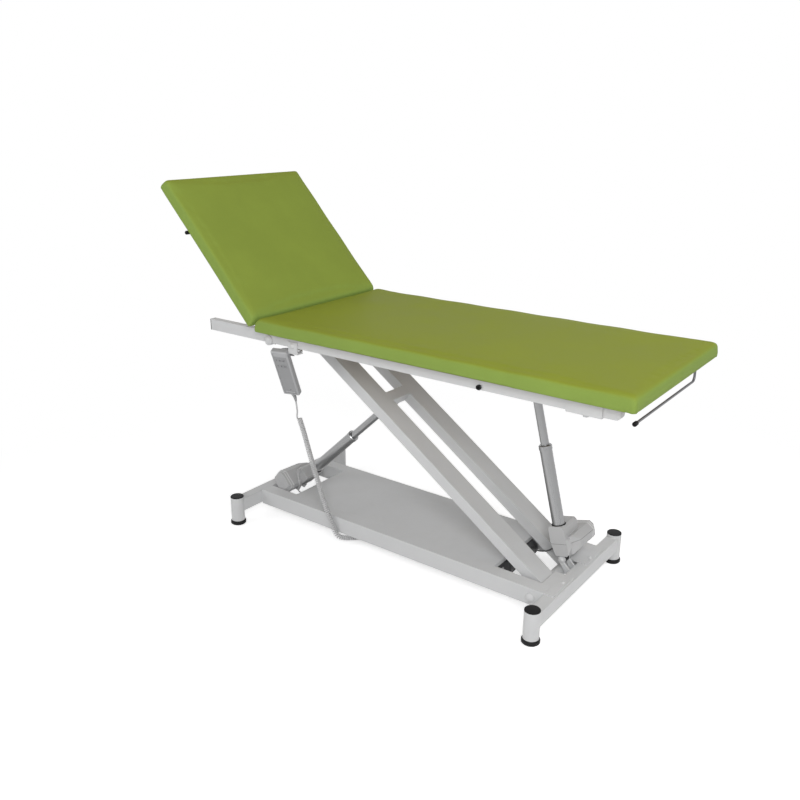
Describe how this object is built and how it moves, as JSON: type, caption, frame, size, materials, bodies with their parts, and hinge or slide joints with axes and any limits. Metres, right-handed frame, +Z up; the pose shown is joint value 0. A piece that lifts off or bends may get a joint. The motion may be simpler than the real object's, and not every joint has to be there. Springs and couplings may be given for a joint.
{
  "type": "examination table",
  "caption": "Height-adjustable examination table: a vinyl couch with a raised back section on a parallel arm lift, with electric actuators and a wired handset.",
  "frame": {"origin": "On the floor, midway between the feet and under the middle of the whole table", "axes": "+X to the foot end, +Y to the far side (away from the handset), +Z up"},
  "size_m": [1.8125, 0.68, 1.2885],
  "materials": {
    "white_steel": "satin powder coat",
    "white_plastic": "satin",
    "black_plastic": "satin",
    "rubber": "matt",
    "zinc_steel": "zinc plated",
    "chrome": "polished",
    "aluminium": "satin anodised",
    "grey_plastic": "fine grain",
    "black_steel": "gloss",
    "plywood": "sanded",
    "vinyl": "satin, fine grain",
    "cord": "satin"
  },
  "bodies": {
    "base": {"base_rails": "white_steel", "base_cross_bars": "white_steel", "deck": "white_steel", "base_middle_tube": "white_steel", "end_plates": "white_steel", "plate_bolts": "white_steel", "leg_tubes": "white_steel", "leg_caps": "black_plastic", "rubber_feet": "rubber", "lower_pivot_shaft": "white_steel", "motor_brackets": "white_steel", "motor_pins": "zinc_steel", "control_unit": "black_plastic", "handset_cord": "cord", "cord_tail": "cord", "head_motor_cable": "cord", "foot_motor_cable": "cord"},
    "lift_arms": {"near_lift_arm": "white_steel", "far_lift_arm": "white_steel", "arm_cross_tube": "white_steel", "lower_pivot_tube": "white_steel", "upper_pivot_tube": "white_steel", "pivot_bushes": "black_plastic", "lift_lugs": "white_steel"},
    "upper_frame": {"near_side_rail": "white_steel", "far_side_rail": "white_steel", "frame_cross_tubes": "white_steel", "rail_ends": "white_plastic", "upper_pivot_shaft": "white_steel", "actuator_cross_shaft": "zinc_steel", "board_screws": "zinc_steel", "seat_board": "plywood", "seat_cushion": "vinyl", "seat_hinge_leaves": "zinc_steel", "handset_holder": "white_plastic", "paper_roll_rod": "chrome", "handset_shell": "grey_plastic", "handset_hook": "grey_plastic"},
    "head_actuator": {"head_motor_housing": "grey_plastic", "head_outer_tube": "aluminium", "head_spindle": "zinc_steel"},
    "head_actuator_rod": {"head_rod": "aluminium"},
    "foot_actuator": {"foot_motor_housing": "grey_plastic", "foot_outer_tube": "aluminium", "foot_spindle": "zinc_steel"},
    "foot_actuator_rod": {"foot_rod": "aluminium"},
    "back_section": {"back_board": "plywood", "back_cushion": "vinyl", "back_frame": "white_steel", "back_hinge_leaves": "zinc_steel"},
    "gas_spring_body": {"gas_spring_cylinder": "black_steel"},
    "gas_spring_piston": {"gas_spring_rod": "zinc_steel"},
    "release_bar": {"release_bar": "zinc_steel"},
    "raise_key": {"key_raise": "black_plastic"},
    "lower_key": {"key_lower": "black_plastic"},
    "foot_up_key": {"key_foot_up": "black_plastic"},
    "foot_down_key": {"key_foot_down": "black_plastic"}
  },
  "joints": [
    {"name": "arm_lift", "type": "hinge", "parent": "base", "child": "lift_arms", "pos_m": [0.574, 0, 0.07], "axis": [0, 1, 0], "range_deg": [-17, 0], "deforming": ["handset_cord"]},
    {"name": "top_level", "type": "hinge", "parent": "lift_arms", "child": "upper_frame", "pos_m": [-0.42987, 0, 0.7703], "axis": [0, 1, 0], "range_deg": [0, 17]},
    {"name": "head_actuator_swing", "type": "hinge", "parent": "base", "child": "head_actuator", "pos_m": [-0.588, 0, 0.085], "axis": [0, 1, 0], "range_deg": [0, 13.4], "deforming": ["head_motor_cable"]},
    {"name": "head_rod_slide", "type": "slide", "parent": "head_actuator", "child": "head_actuator_rod", "axis": [0.7297, 0, 0.6838], "range_m": [-0.21542, 0]},
    {"name": "foot_actuator_swing", "type": "hinge", "parent": "base", "child": "foot_actuator", "pos_m": [0.59, 0.012, 0.128], "axis": [0, 1, 0], "range_deg": [-31.33, 0], "deforming": ["foot_motor_cable"]},
    {"name": "foot_rod_slide", "type": "slide", "parent": "foot_actuator", "child": "foot_actuator_rod", "axis": [-0.2486, 0, 0.9686], "range_m": [-0.20795, 0]},
    {"name": "back_recline", "type": "hinge", "parent": "upper_frame", "child": "back_section", "pos_m": [-0.47097, 0, 0.816], "axis": [0, 1, 0], "range_deg": [-47, 13]},
    {"name": "gas_spring_swing", "type": "hinge", "parent": "upper_frame", "child": "gas_spring_body", "pos_m": [-0.55997, 0, 0.745], "axis": [0, 1, 0], "range_deg": [-52.37, 14.52]},
    {"name": "gas_rod_slide", "type": "slide", "parent": "gas_spring_body", "child": "gas_spring_piston", "axis": [-0.5539, 0, 0.8326], "range_m": [-0.08493, 0.02364]},
    {"name": "release_turn", "type": "hinge", "parent": "back_section", "child": "release_bar", "pos_m": [-0.79606, 0, 1.11037], "axis": [0, 1, 0], "range_deg": [0, 12], "stiffness_Nm_per_rad": 2},
    {"name": "raise_key_press", "type": "slide", "parent": "upper_frame", "child": "raise_key", "axis": [-0.2498, 0.8712, 0.4226], "range_m": [0, 0.001], "stiffness_N_per_m": 900},
    {"name": "lower_key_press", "type": "slide", "parent": "upper_frame", "child": "lower_key", "axis": [-0.2498, 0.8712, 0.4226], "range_m": [0, 0.001], "stiffness_N_per_m": 900},
    {"name": "foot_up_key_press", "type": "slide", "parent": "upper_frame", "child": "foot_up_key", "axis": [-0.2498, 0.8712, 0.4226], "range_m": [0, 0.001], "stiffness_N_per_m": 900},
    {"name": "foot_down_key_press", "type": "slide", "parent": "upper_frame", "child": "foot_down_key", "axis": [-0.2498, 0.8712, 0.4226], "range_m": [0, 0.001], "stiffness_N_per_m": 900}
  ],
  "couplings": [
    {"joint": "top_level", "follows": "arm_lift", "ratio": -1},
    {"joint": "head_actuator_swing", "follows": "arm_lift", "ratio": -0.7855},
    {"joint": "head_rod_slide", "follows": "arm_lift", "m_per_rad": 0.72537},
    {"joint": "foot_actuator_swing", "follows": "arm_lift", "ratio": 1.8398},
    {"joint": "foot_rod_slide", "follows": "arm_lift", "m_per_rad": 0.70018},
    {"joint": "gas_spring_swing", "follows": "back_recline", "ratio": 1.1131},
    {"joint": "gas_rod_slide", "follows": "back_recline", "m_per_rad": 0.1033}
  ]
}
